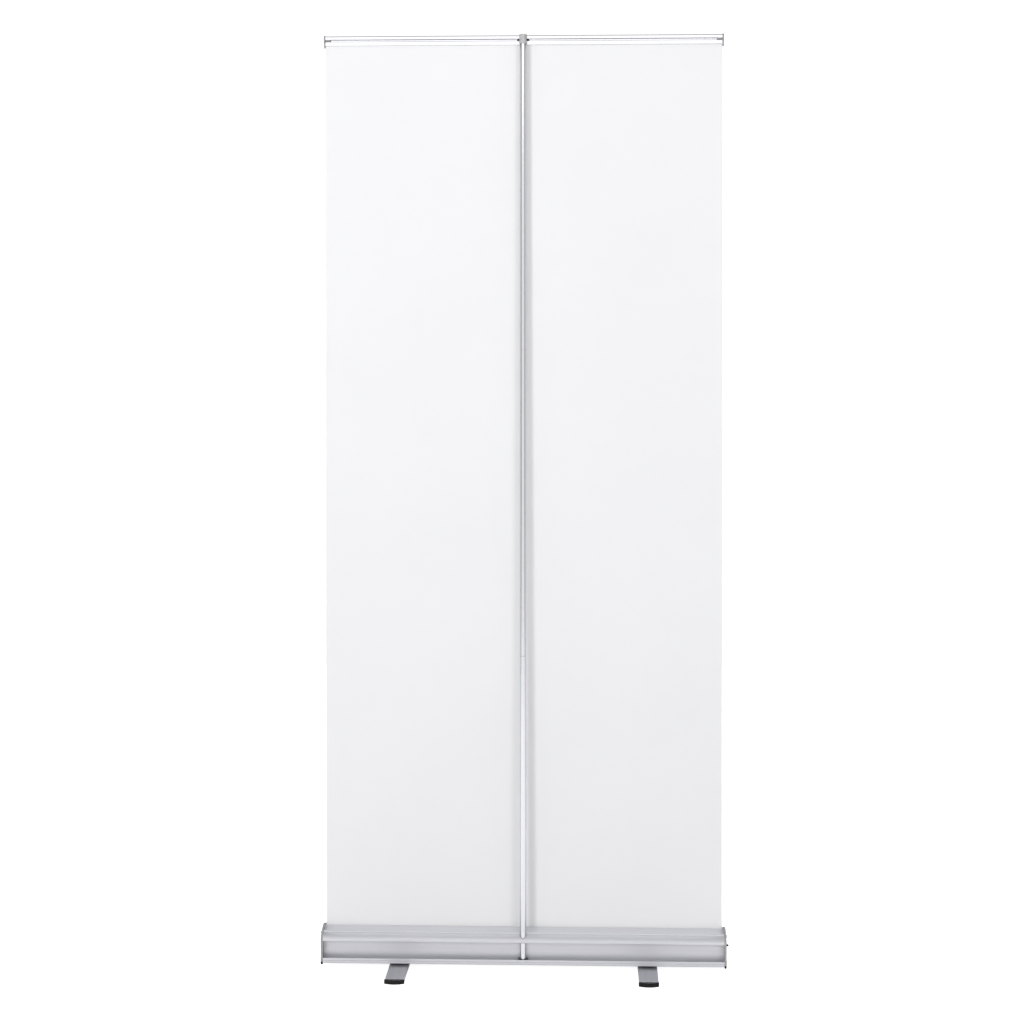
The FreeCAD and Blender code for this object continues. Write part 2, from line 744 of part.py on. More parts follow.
def build():
    save("housing", housing())
    for side, name in ((-1, "left"), (1, "right")):
        save(f"end_plate_{name}", end_plate(side))
        save(f"end_plate_screws_{name}", *end_plate_screws(side))
        save(f"end_pad_{name}", end_pad(side))
        save(f"rail_end_cap_{name}", rail_end_cap(side))
        x = side * foot_x
        save(f"foot_bar_{name}", foot_bar(x))
        save(f"foot_bush_{name}", foot_bush(x))
        save(f"foot_cap_{name}_rear", foot_cap(x, -1))
        save(f"foot_cap_{name}_front", foot_cap(x, 1))
        save(f"foot_bolt_{name}", foot_bolt(x))
        save(f"foot_spacer_{name}", foot_spacer(x))
        save(f"foot_nut_washer_{name}", nut_washer(x))
        save(f"foot_nut_{name}", foot_nut(x))
    save("pole_seat", pole_seat())
    save("pole_seat_screws", *pole_seat_screws())
    save("roller_tube", roller_tube())
    save("graphic_wraps", graphic_wraps())
    save("roller_plug_left", roller_plug_left())
    save("roller_plug_right", roller_plug_right())
    save("spring_shaft", spring_shaft())
    save("spring_collar", spring_collar())
    save("shaft_steady", shaft_steady())
    save("torsion_spring", torsion_spring())
    save("stub_axle", stub_axle())
    save("lock_pin", lock_pin())
    for n, name in enumerate(("lower", "middle", "upper")):
        save(f"pole_tube_{name}", pole_tube(n))
    save("ferrule_lower", ferrule(0))
    save("ferrule_upper", ferrule(1))
    save("pole_foot_plug", foot_plug())
    save("elastic_cord", elastic_cord())
    save("pole_head", pole_head())
    save("rail_hook", rail_hook())
    save("rail_back", rail_back())
    save("rail_jaw", rail_jaw())
    save("graphic_sheet", graphic_sheet())


build()
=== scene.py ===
"""Roll-up banner stand: finishes, film, moulded pieces and a plain studio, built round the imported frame."""

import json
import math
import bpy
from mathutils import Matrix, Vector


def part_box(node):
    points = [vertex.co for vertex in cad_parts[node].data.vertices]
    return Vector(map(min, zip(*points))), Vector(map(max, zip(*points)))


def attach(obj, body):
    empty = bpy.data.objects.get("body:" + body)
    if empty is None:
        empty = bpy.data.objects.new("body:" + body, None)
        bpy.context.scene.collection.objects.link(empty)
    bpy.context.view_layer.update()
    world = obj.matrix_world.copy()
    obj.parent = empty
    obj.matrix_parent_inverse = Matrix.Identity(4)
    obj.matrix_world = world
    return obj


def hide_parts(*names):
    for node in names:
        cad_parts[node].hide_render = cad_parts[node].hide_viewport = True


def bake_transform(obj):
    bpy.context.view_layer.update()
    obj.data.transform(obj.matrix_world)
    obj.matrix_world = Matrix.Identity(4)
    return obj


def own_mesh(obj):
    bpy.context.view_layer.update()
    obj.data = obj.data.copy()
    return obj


bl_info = {
    "name": "Roll-up Banner Stand",
    "version": (1, 0, 0),
    "blender": (4, 5, 0),
    "location": "View3D > Sidebar > Banner Stand",
    "description": "Builds the finishes, the film graphic and the moulded pieces of a roll-up banner stand",
    "category": "Object",
}

import bpy
from mathutils import Vector, noise

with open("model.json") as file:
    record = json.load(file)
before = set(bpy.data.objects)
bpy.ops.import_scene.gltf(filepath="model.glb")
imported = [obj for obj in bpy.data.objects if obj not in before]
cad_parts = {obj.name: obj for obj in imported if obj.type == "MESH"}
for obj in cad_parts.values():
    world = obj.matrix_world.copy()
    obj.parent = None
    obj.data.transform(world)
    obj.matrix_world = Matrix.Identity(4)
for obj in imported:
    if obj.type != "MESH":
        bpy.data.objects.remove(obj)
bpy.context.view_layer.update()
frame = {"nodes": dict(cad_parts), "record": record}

MM = 0.001
SIDES = ("left", "right")
ENDS = (("rear", -1), ("front", 1))
SHEET_LOW, SHEET_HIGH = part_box("graphic_sheet")
HOUSING_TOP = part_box("housing")[1].z
RAIL_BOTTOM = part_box("rail_back")[0].z
HOOK_LOW, HOOK_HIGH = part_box("rail_hook")


# ---- Sizes and colours ----
class StandSizes(bpy.types.PropertyGroup):
    film_thickness: bpy.props.FloatProperty(
        name="Film thickness",
        description="Thickness of the graphic's film",
        default=0.35 * MM,
        unit="LENGTH",
    )
    film_ripple: bpy.props.FloatProperty(
        name="Film ripple",
        description="How far the hung film stands off its own flat plane",
        default=0.5 * MM,
        unit="LENGTH",
    )
    edge_curl: bpy.props.FloatProperty(
        name="Edge curl",
        description="How far the film's side edges curl back",
        default=0.9 * MM,
        unit="LENGTH",
    )
    cap_bevel: bpy.props.FloatProperty(
        name="Cap rounding",
        description="Rounding of the foot caps' edges",
        default=1.8 * MM,
        unit="LENGTH",
    )
    cap_dimple: bpy.props.FloatProperty(
        name="Cap dimple",
        description="Depth of the two dimples on a foot cap",
        default=0.5 * MM,
        unit="LENGTH",
    )
    head_bevel: bpy.props.FloatProperty(
        name="Head rounding",
        description="Rounding of the pole head's rims",
        default=0.7 * MM,
        unit="LENGTH",
    )


class StandColours(bpy.types.PropertyGroup):
    aluminium: bpy.props.FloatVectorProperty(
        name="Aluminium",
        description="Clear-anodised aluminium",
        subtype="COLOR",
        default=(0.66, 0.66, 0.695),
    )
    film_back: bpy.props.FloatVectorProperty(
        name="Film back",
        description="Blank back of the film",
        subtype="COLOR",
        default=(0.86, 0.86, 0.875),
    )
    film_front: bpy.props.FloatVectorProperty(
        name="Film front",
        description="Blank face of the film",
        subtype="COLOR",
        default=(0.88, 0.88, 0.88),
    )
    head_grey: bpy.props.FloatVectorProperty(
        name="Head grey",
        description="Moulded head of the pole",
        subtype="COLOR",
        default=(0.48, 0.48, 0.485),
    )
    black: bpy.props.FloatVectorProperty(
        name="Black plastic",
        description="Moulded black plastic",
        subtype="COLOR",
        default=(0.012, 0.012, 0.013),
    )
    floor: bpy.props.FloatVectorProperty(
        name="Floor", description="Studio floor", subtype="COLOR", default=(0.8, 0.8, 0.8)
    )


class StandStudio(bpy.types.PropertyGroup):
    camera_place: bpy.props.FloatVectorProperty(
        name="Camera place",
        description="Where the camera stands",
        subtype="TRANSLATION",
        default=(0.1458, -4.4182, 1.2763),
    )
    camera_turn: bpy.props.FloatProperty(
        name="Camera turn",
        description="Turn of the camera to its left",
        subtype="ANGLE",
        default=math.radians(2.211),
    )
    lens: bpy.props.FloatProperty(name="Lens", description="Focal length in millimetres", default=72.32)
    rise: bpy.props.FloatProperty(
        name="Lens rise",
        description="Vertical shift that keeps the stand's sides upright",
        default=-0.13736,
    )
    bank_power: bpy.props.FloatProperty(
        name="Bank light",
        description="Power of the soft bank between the stand and the camera",
        default=10.0,
        unit="POWER",
    )
    key_power: bpy.props.FloatProperty(
        name="Key light", description="Power of the key light", default=60.0, unit="POWER"
    )
    fill_power: bpy.props.FloatProperty(
        name="Fill light", description="Power of the fill light", default=29.0, unit="POWER"
    )
    rear_power: bpy.props.FloatProperty(
        name="Rear light",
        description="Power of the light behind the stand",
        default=140.0,
        unit="POWER",
    )
    floor_glow: bpy.props.FloatProperty(
        name="Floor glow",
        description="Light that the floor itself shows to the camera",
        default=0.85,
    )


# ---- Modelling ----
DOUBLE_GAP = 0.001 * MM


def clear_selection():
    """Object mode, with nothing selected."""
    if bpy.context.object and bpy.context.object.mode != "OBJECT":
        bpy.ops.object.mode_set(mode="OBJECT")
    bpy.ops.object.select_all(action="DESELECT")


def started(name):
    """Names the primitive that was just added and returns it."""
    piece = bpy.context.object
    piece.name = name
    piece.data.name = name
    return piece


def pick_edges(piece, wanted):
    """In edit mode, with only the edges that pass wanted selected."""
    bpy.ops.object.mode_set(mode="EDIT")
    bpy.ops.mesh.select_mode(type="EDGE")
    bpy.ops.mesh.select_all(action="DESELECT")
    bpy.ops.object.mode_set(mode="OBJECT")
    mesh = piece.data
    for edge in mesh.edges:
        edge.select = bool(wanted(mesh, edge))
    bpy.ops.object.mode_set(mode="EDIT")


def make_active(piece):
    """The piece alone selected, and active."""
    clear_selection()
    piece.select_set(True)
    bpy.context.view_layer.objects.active = piece


def apply_modifier(piece, kind, **values):
    """Adds a modifier with these values and applies it."""
    make_active(piece)
    modifier = piece.modifiers.new(kind.title(), kind)
    for key, value in values.items():
        setattr(modifier, key, value)
    bpy.ops.object.modifier_apply(modifier=modifier.name)


def combine(piece, operation, other):
    """Applies a boolean between the piece and another solid, and removes the other."""
    apply_modifier(piece, "BOOLEAN", operation=operation, object=other, solver="EXACT")
    bpy.data.objects.remove(other)


def round_edges(piece, width, segments, sharper_than):
    """Bevels every edge that turns by more than an angle in degrees."""
    limit = math.radians(sharper_than)
    apply_modifier(piece, "BEVEL", width=width, segments=segments, limit_method="ANGLE", angle_limit=limit)


def settle(piece, angle=35):
    """Applies the piece's place, merges its doubles, turns its faces outwards and smooths it."""
    make_active(piece)
    bpy.ops.object.transform_apply(location=True, rotation=True, scale=True)
    bpy.ops.object.mode_set(mode="EDIT")
    bpy.ops.mesh.select_all(action="SELECT")
    bpy.ops.mesh.remove_doubles(threshold=DOUBLE_GAP)
    bpy.ops.mesh.normals_make_consistent(inside=False)
    bpy.ops.object.mode_set(mode="OBJECT")
    bpy.ops.object.shade_smooth_by_angle(angle=math.radians(angle))
    clear_selection()


def dress(piece, *materials):
    """Gives the piece these materials and no others."""
    piece.data.materials.clear()
    for material in materials:
        piece.data.materials.append(material)


def place(piece, body, slot, *nodes):
    """The piece rides on a body and stands for CAD nodes, which it hides; slot is not used."""
    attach(piece, body)
    if nodes:
        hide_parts(*nodes)


# ---- Shader groups ----
def new_group(name, inputs, outputs):
    """An empty node group with these sockets, and its input and output nodes."""
    group = bpy.data.node_groups.new(name, "ShaderNodeTree")
    for label, kind, default in inputs:
        socket = group.interface.new_socket(name=label, in_out="INPUT", socket_type=kind)
        if default is not None:
            socket.default_value = default
    for label, kind in outputs:
        group.interface.new_socket(name=label, in_out="OUTPUT", socket_type=kind)
    return group, group.nodes.new("NodeGroupInput"), group.nodes.new("NodeGroupOutput")


def math_node(tree, operation, first, second):
    """The result of a sum on two sockets or numbers."""
    node = tree.nodes.new("ShaderNodeMath")
    node.operation = operation
    for socket, value in zip(node.inputs, (first, second)):
        if isinstance(value, (int, float)):
            socket.default_value = value
        else:
            tree.links.new(value, socket)
    return node.outputs[0]


def noise_node(tree, vector, scale, detail=2.0, roughness=0.5):
    """Soft noise at a scale that is a number or a socket."""
    node = tree.nodes.new("ShaderNodeTexNoise")
    node.inputs["Detail"].default_value = detail
    node.inputs["Roughness"].default_value = roughness
    tree.links.new(vector, node.inputs["Vector"])
    if isinstance(scale, (int, float)):
        node.inputs["Scale"].default_value = scale
    else:
        tree.links.new(scale, node.inputs["Scale"])
    return node.outputs["Fac"]


def die_line_group():
    """Fine lines drawn out along one axis, as a die leaves them, and broad faint bands among them."""
    group, into, out = new_group(
        "Die lines",
        [
            ("Vector", "NodeSocketVector", None),
            ("Fineness", "NodeSocketFloat", 1500.0),
            ("Bands", "NodeSocketFloat", 60.0),
        ],
        [("Lines", "NodeSocketFloat"), ("Bands", "NodeSocketFloat")],
    )
    lines = noise_node(group, into.outputs["Vector"], into.outputs["Fineness"], detail=3.0, roughness=0.6)
    bands = noise_node(group, into.outputs["Vector"], into.outputs["Bands"])
    group.links.new(lines, out.inputs["Lines"])
    group.links.new(bands, out.inputs["Bands"])
    return group


def handling_group():
    """Soft smudges, as hands leave them."""
    group, into, out = new_group(
        "Handling marks",
        [("Vector", "NodeSocketVector", None), ("Scale", "NodeSocketFloat", 9.0)],
        [("Smudge", "NodeSocketFloat")],
    )
    smudge = noise_node(group, into.outputs["Vector"], into.outputs["Scale"], detail=4.0, roughness=0.55)
    group.links.new(smudge, out.inputs["Smudge"])
    return group


def moulded_group():
    """The fine spark-eroded texture of a moulded surface, and its faint cloudiness."""
    group, into, out = new_group(
        "Moulded grain",
        [("Vector", "NodeSocketVector", None), ("Scale", "NodeSocketFloat", 2600.0)],
        [("Grain", "NodeSocketFloat"), ("Cloud", "NodeSocketFloat")],
    )
    cells = group.nodes.new("ShaderNodeTexVoronoi")
    cells.feature = "SMOOTH_F1"
    group.links.new(into.outputs["Vector"], cells.inputs["Vector"])
    group.links.new(into.outputs["Scale"], cells.inputs["Scale"])
    cloud = noise_node(group, into.outputs["Vector"], 120.0, detail=3.0, roughness=0.6)
    group.links.new(cells.outputs["Distance"], out.inputs["Grain"])
    group.links.new(cloud, out.inputs["Cloud"])
    return group


GROUPS = {}


def shared_groups():
    """The node groups that the materials share, made once."""
    if not GROUPS:
        GROUPS["die"] = die_line_group()
        GROUPS["handling"] = handling_group()
        GROUPS["moulded"] = moulded_group()
    return GROUPS


# ---- Materials ----
SHEEN_SWING = 0.06      # how far the smudges move a moulded surface's roughness either way
FIBRE_SWING = 0.05      # how far the fibres move the film's roughness either way


def new_material(name):
    """A material with its Principled shader and the piece's own coordinates."""
    material = bpy.data.materials.new(name)
    material.use_nodes = True
    tree = material.node_tree
    shader = tree.nodes["Principled BSDF"]
    coordinates = tree.nodes.new("ShaderNodeTexCoord").outputs["Object"]
    return material, tree, shader, coordinates


def placed_group(tree, key, vector, **values):
    """A shared group in this tree, with its vector linked and its values set."""
    node = tree.nodes.new("ShaderNodeGroup")
    node.node_tree = shared_groups()[key]
    tree.links.new(vector, node.inputs["Vector"])
    for label, value in values.items():
        node.inputs[label].default_value = value
    return node


def stretched(tree, vector, scale):
    """A vector scaled by axis, so that a pattern is drawn out along the axis with the small scale."""
    node = tree.nodes.new("ShaderNodeMapping")
    node.inputs["Scale"].default_value = scale
    tree.links.new(vector, node.inputs["Vector"])
    return node.outputs["Vector"]


def ranged(tree, value, low, high, from_low=0.3, from_high=0.7):
    """A value mapped to low and high; the preset source range is the middle of a noise."""
    node = tree.nodes.new("ShaderNodeMapRange")
    numbers = {"From Min": from_low, "From Max": from_high, "To Min": low, "To Max": high}
    for label, number in numbers.items():
        node.inputs[label].default_value = number
    tree.links.new(value, node.inputs["Value"])
    return node.outputs["Result"]


def tinted(tree, fac, dark, light):
    """A colour between two, by a factor."""
    node = tree.nodes.new("ShaderNodeMix")
    node.data_type = "RGBA"
    node.inputs["A"].default_value = (*dark, 1)
    node.inputs["B"].default_value = (*light, 1)
    tree.links.new(fac, node.inputs["Factor"])
    return node.outputs["Result"]


def bumped(tree, shader, height, strength, distance):
    """Gives a shader a bump from a height."""
    node = tree.nodes.new("ShaderNodeBump")
    node.inputs["Strength"].default_value = strength
    node.inputs["Distance"].default_value = distance
    tree.links.new(height, node.inputs["Height"])
    tree.links.new(node.outputs["Normal"], shader.inputs["Normal"])


def scaled_colour(colour, factor):
    """A colour made lighter or darker, no channel over 1."""
    return tuple(min(1.0, c * factor) for c in colour)


def add_painted_edge_shade(tree, tone, strength):
    """Darkens a colour where the surface turns away from the view: painted shade on a tube's edges, in place
    of the dark reflections there.
    """
    facing = tree.nodes.new("ShaderNodeLayerWeight")
    facing.inputs["Blend"].default_value = 0.5
    painted_edge_shade = ranged(tree, facing.outputs["Facing"], 0, strength, from_low=0.42, from_high=0.8)
    node = tree.nodes.new("ShaderNodeMix")
    node.data_type = "RGBA"
    tree.links.new(painted_edge_shade, node.inputs["Factor"])
    tree.links.new(tone, node.inputs["A"])
    node.inputs["B"].default_value = (0.05, 0.05, 0.055, 1)
    return node.outputs["Result"]


def drawn_metal(
    name, colour, grain, roughness, smudge=0.03, bump=0.25, painted_edge_shade=0.0, spread=0.05, metallic=1.0
):
    """Anodised or plated metal, with die lines along the axis where grain is small.

    The lines move the roughness by spread either way, and the smudges by smudge. A non-zero edge strength
    darkens the colour where the surface turns away from the view, as painted shade.
    """
    material, tree, shader, coordinates = new_material(name)
    die = placed_group(tree, "die", stretched(tree, coordinates, grain), Fineness=1800.0, Bands=90.0)
    hand = placed_group(tree, "handling", coordinates, Scale=7.0)
    bands = ranged(tree, die.outputs["Bands"], 0, 1)
    tone = tinted(tree, bands, scaled_colour(colour, 0.97), scaled_colour(colour, 1.03))
    # painted shade: the colour darkens on edges that turn away from the view
    if painted_edge_shade:
        tone = add_painted_edge_shade(tree, tone, painted_edge_shade)
    tree.links.new(tone, shader.inputs["Base Color"])
    base = ranged(tree, die.outputs["Lines"], roughness - spread, roughness + spread)
    marks = ranged(tree, hand.outputs["Smudge"], -smudge, smudge)
    tree.links.new(math_node(tree, "ADD", base, marks), shader.inputs["Roughness"])
    shader.inputs["Metallic"].default_value = metallic
    bumped(tree, shader, die.outputs["Lines"], bump, 0.02 * MM)
    return material


def moulded_plastic(name, colour, roughness, grain_scale, bump, shine):
    """Moulded plastic, with its fine texture and a faint cloudiness."""
    material, tree, shader, coordinates = new_material(name)
    grain = placed_group(tree, "moulded", coordinates, Scale=grain_scale)
    hand = placed_group(tree, "handling", coordinates, Scale=30.0)
    cloud = ranged(tree, grain.outputs["Cloud"], 0, 1)
    tone = tinted(tree, cloud, scaled_colour(colour, 0.9), scaled_colour(colour, 1.1))
    tree.links.new(tone, shader.inputs["Base Color"])
    rough = ranged(tree, hand.outputs["Smudge"], roughness - SHEEN_SWING, roughness + SHEEN_SWING)
    tree.links.new(rough, shader.inputs["Roughness"])
    shader.inputs["Specular IOR Level"].default_value = shine
    bumped(tree, shader, grain.outputs["Grain"], bump, 0.04 * MM)
    return material


def film_material(name, colour, roughness):
    """Blank film: near-white, faintly mottled, with a soft sheen broken by fine fibres."""
    material, tree, shader, coordinates = new_material(name)
    mottle = noise_node(tree, coordinates, 3.0, detail=3.0)
    tone = tinted(tree, ranged(tree, mottle, 0, 1), scaled_colour(colour, 0.99), scaled_colour(colour, 1.01))
    tree.links.new(tone, shader.inputs["Base Color"])
    fibre = noise_node(tree, coordinates, 900.0, roughness=0.6)
    sheen = ranged(tree, fibre, roughness - FIBRE_SWING, roughness + FIBRE_SWING)
    tree.links.new(sheen, shader.inputs["Roughness"])
    shader.inputs["Specular IOR Level"].default_value = 0.35
    bumped(tree, shader, fibre, 0.15, 0.03 * MM)
    return material


def braided_material(name, colour):
    """Braided cord: crossing diagonal waves."""
    material, tree, shader, coordinates = new_material(name)
    wave = tree.nodes.new("ShaderNodeTexWave")
    wave.bands_direction = "DIAGONAL"
    wave.inputs["Scale"].default_value = 420.0
    wave.inputs["Distortion"].default_value = 1.5
    tree.links.new(coordinates, wave.inputs["Vector"])
    tone = tinted(tree, wave.outputs["Fac"], scaled_colour(colour, 0.6), scaled_colour(colour, 1.8))
    tree.links.new(tone, shader.inputs["Base Color"])
    shader.inputs["Roughness"].default_value = 0.85
    bumped(tree, shader, wave.outputs["Fac"], 0.6, 0.3 * MM)
    return material


MATERIALS = {}
ALONG_X, ALONG_Y, ALONG_Z = (0.004, 1.0, 1.0), (1.0, 0.01, 1.0), (1.0, 1.0, 0.004)
NO_GRAIN = (1.0, 1.0, 1.0)


def build_metals(aluminium):
    """The metal finishes, by the record's slot names."""
    # The pole's copy of the aluminium is lightened to 1.32 as a painted highlight, in place of the key
    # light's reflection, which no part shows.
    cassette, pole, rail = (scaled_colour(aluminium, factor) for factor in (1.12, 1.32, 0.98))
    roller, foot = (scaled_colour(aluminium, factor) for factor in (0.92, 0.9))
    satin = {"smudge": 0.02, "bump": 0.04}
    plated = {"roughness": 0.3, "bump": 0.1}
    MATERIALS.update(
        cassette_aluminium=drawn_metal(
            "Cassette aluminium", cassette, ALONG_X, roughness=0.43, spread=0.03, metallic=0.7, **satin
        ),
        pole_aluminium=drawn_metal(
            # full painted shade on the pole's edges where they turn away from the view
            "Pole aluminium", pole, ALONG_Z, roughness=0.2, smudge=0.0, bump=0.0, painted_edge_shade=1.0, spread=0.004
        ),
        rail_aluminium=drawn_metal("Rail aluminium", rail, ALONG_X, roughness=0.22, spread=0.02, **satin),
        roller_aluminium=drawn_metal("Roller aluminium", roller, ALONG_X, roughness=0.42),
        foot_aluminium=drawn_metal(
            "Foot aluminium", foot, ALONG_Y, roughness=0.36, smudge=0.02, bump=0.05, spread=0.03, metallic=0.8
        ),
        steel=drawn_metal("Zinc-plated steel", (0.58, 0.58, 0.6), NO_GRAIN, **plated),
        spring_steel=drawn_metal("Oiled spring wire", (0.2, 0.2, 0.21), NO_GRAIN, **plated),
    )


def build_plastics(black, head_grey):
    """The moulded finishes, by the record's slot names."""
    silver = {"grain_scale": 2200.0, "bump": 0.1, "shine": 0.5}
    gloss = scaled_colour(black, 0.6)
    soft = scaled_colour(black, 1.3)
    MATERIALS.update(
        end_plate=moulded_plastic("End plate silver", (0.36, 0.36, 0.37), roughness=0.42, **silver),
        rail_cap=moulded_plastic("Rail cap silver", (0.3, 0.3, 0.31), roughness=0.36, **silver),
        hook_plastic=moulded_plastic(
            "Hook dark grey", (0.03, 0.03, 0.032), roughness=0.4, grain_scale=2400.0, bump=0.2, shine=0.4
        ),
        head_plastic=moulded_plastic(
            "Head grey", head_grey, roughness=0.36, grain_scale=2400.0, bump=0.15, shine=0.55
        ),
        black_plastic=moulded_plastic(
            "Black plastic", black, roughness=0.4, grain_scale=2600.0, bump=0.35, shine=0.3
        ),
        gloss_black=moulded_plastic(
            "Gloss black plastic", gloss, roughness=0.16, grain_scale=2600.0, bump=0.03, shine=0.22
        ),
        nylon=moulded_plastic(
            "Natural nylon", (0.72, 0.7, 0.64), roughness=0.45, grain_scale=1800.0, bump=0.1, shine=0.4
        ),
        rubber=moulded_plastic(
            "Soft black pad", soft, roughness=0.75, grain_scale=2000.0, bump=0.4, shine=0.3
        ),
    )


def build_materials(colours):
    """Every finish on the stand."""
    film_back = tuple(colours.film_back)
    build_metals(tuple(colours.aluminium))
    build_plastics(tuple(colours.black), tuple(colours.head_grey))
    MATERIALS.update(
        film=film_material("Film back", film_back, roughness=0.5),
        film_front=film_material("Film front", tuple(colours.film_front), roughness=0.36),
        leader=film_material("Leader strip", scaled_colour(film_back, 0.92), roughness=0.3),
        elastic=braided_material("Elastic cord", (0.03, 0.03, 0.03)),
    )


# ---- Finishes and film ----
class BANNER_OT_finishes(bpy.types.Operator):
    """Gives every carried-over part its finish"""

    bl_idname = "banner.finishes"
    bl_label = "Finishes"

    def execute(self, context):
        build_materials(context.scene.stand_colours)
        for part in frame["record"]["subparts"]:
            dress(frame["nodes"][part["node"]], MATERIALS[part["material_slot"]])
        return {"FINISHED"}


FILM_INSET = 0.25 * MM          # from the side of the film's CAD box to its middle, at clamp and slot
FILM_LOW_Z = 26 * MM            # where the film meets the roller's wraps
FILM_EASE = 120 * MM            # the ripple fades out over this height at the slot and at the clamp
RIPPLE_ACROSS, RIPPLE_UP, RIPPLE_SEED = 2.2, 1.1, 3.7
CURL_SHARPNESS = 14             # the higher, the closer to the edge the curl begins
CURL_SHARE, CURL_SWING = 0.55, 0.45
CURL_WAVES, CURL_START = 3.1, 1.0


def face_rear(sheet):
    """Turns an upright sheet's faces towards the pole's side."""
    if sheet.data.polygons[0].normal.y > 0:
        sheet.data.flip_normals()


def eased(share):
    """A share from 0 to 1 with a soft start and end."""
    share = max(0.0, min(1.0, share))
    return share * share * (3 - 2 * share)


class BANNER_OT_graphic(bpy.types.Operator):
    """Hangs the blank film from the clamp rail down into the cassette's slot"""

    bl_idname = "banner.graphic"
    bl_label = "Graphic"

    def execute(self, context):
        sizes = context.scene.stand_sizes
        width = SHEET_HIGH.x - SHEET_LOW.x
        clamp_y, clamp_z = SHEET_LOW.y + FILM_INSET, RAIL_BOTTOM
        slot_y, slot_z = SHEET_HIGH.y - FILM_INSET, HOUSING_TOP - 0.5 * MM
        low_z, high_z = FILM_LOW_Z, SHEET_HIGH.z
        lean = (clamp_y - slot_y) / (clamp_z - slot_z)
        clear_selection()
        bpy.ops.mesh.primitive_grid_add(x_subdivisions=40, y_subdivisions=150, size=1)
        film = started("film_graphic")
        for vertex in film.data.vertices:
            across, up = vertex.co.x, vertex.co.y + 0.5
            z = low_z + (high_z - low_z) * up
            if z < slot_z:
                y = slot_y
            elif z > clamp_z:
                y = clamp_y
            else:
                y = slot_y + lean * (z - slot_z)
            free = eased(min(z - slot_z, clamp_z - z) / FILM_EASE)
            spot = Vector((across * RIPPLE_ACROSS, z * RIPPLE_UP, RIPPLE_SEED))
            ripple = noise.noise(spot) * 2 * sizes.film_ripple
            curl = sizes.edge_curl * abs(across * 2) ** CURL_SHARPNESS
            wave = CURL_SHARE + CURL_SWING * math.sin(z * CURL_WAVES + CURL_START + across)
            vertex.co = (across * width, y + free * (ripple - curl * wave), z)
        dress(film, MATERIALS["film"], MATERIALS["film_front"])
        face_rear(film)
        apply_modifier(
            film,
            "SOLIDIFY",
            thickness=sizes.film_thickness,
            offset=0.0,
            material_offset=1,
            material_offset_rim=0,
        )
        make_active(film)
        bpy.ops.object.shade_smooth_by_angle(angle=math.radians(30))
        clear_selection()
        place(film, "pole_upper", "film", "graphic_sheet")
        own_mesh(film)
        return {"FINISHED"}


LEADER_LOW_Z, LEADER_TOP_GAP = 27 * MM, 0.2 * MM
LEADER_NARROWER = 10 * MM       # than the film
LEADER_BACK = 1.1 * MM          # from the film's front side to the strip's middle
LEADER_THICKNESS = 0.25 * MM


class BANNER_OT_leader(bpy.types.Operator):
    """Runs the plain leader strip from the roller up into the slot"""

    bl_idname = "banner.leader"
    bl_label = "Leader strip"

    def execute(self, context):
        low_z, high_z = LEADER_LOW_Z, HOUSING_TOP - LEADER_TOP_GAP
        width = SHEET_HIGH.x - SHEET_LOW.x - LEADER_NARROWER
        y = SHEET_HIGH.y - LEADER_BACK
        clear_selection()
        bpy.ops.mesh.primitive_grid_add(x_subdivisions=8, y_subdivisions=24, size=1)
        strip = started("leader_strip")
        for vertex in strip.data.vertices:
            across, up = vertex.co.x, vertex.co.y + 0.5
            vertex.co = (across * width, y, low_z + (high_z - low_z) * up)
        face_rear(strip)
        dress(strip, MATERIALS["leader"])
        apply_modifier(strip, "SOLIDIFY", thickness=LEADER_THICKNESS, offset=0.0)
        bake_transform(strip)
        return {"FINISHED"}


# ---- Moulded pieces ----
OVERLAP = 1 * MM                # how far a tool or a joined part reaches past the face it meets


def box_piece(name, low, high):
    """A plain block between two corners."""
    low, high = Vector(low), Vector(high)
    clear_selection()
    bpy.ops.mesh.primitive_cube_add(size=1, location=(low + high) / 2, scale=high - low)
    return started(name)


def drum_piece(name, radius, low_z, high_z, x, y, sides=64):
    """A plain upright cylinder."""
    clear_selection()
    bpy.ops.mesh.primitive_cylinder_add(
        vertices=sides, radius=radius, depth=high_z - low_z, location=(x, y, (low_z + high_z) / 2)
    )
    return started(name)


CAP_BOW_RADIUS = 35.9 * MM
CAP_HALF_WIDTH = 21.3 * MM
CAP_TOP = 8.8 * MM
KEEP_TOP = 20 * MM              # top of the block that a cap's outline is cut with, clear of the cap
CAP_CORNER, CAP_CORNER_FROM = 1.9 * MM, 28 * MM
BAR_END, CAP_TIP = 142 * MM, 151 * MM
TONGUE_HALF_WIDTH, TONGUE_LENGTH = 18 * MM, 14 * MM
TONGUE_LOW, TONGUE_HIGH = 1.2 * MM, 5.6 * MM
DIMPLE_RADIUS, DIMPLE_APART, DIMPLE_BACK = 9 * MM, 5.2 * MM, 4.6 * MM


def is_tip_corner(mesh, edge):
    """An upright edge where a cap's bow meets its side."""
    a, b = (mesh.vertices[i].co for i in edge.vertices)
    upright = abs((b - a).normalized().z) > 0.9
    middle = (a + b) / 2
    return upright and abs(abs(middle.x) - CAP_HALF_WIDTH) < 0.1 * MM and abs(middle.y) > CAP_CORNER_FROM


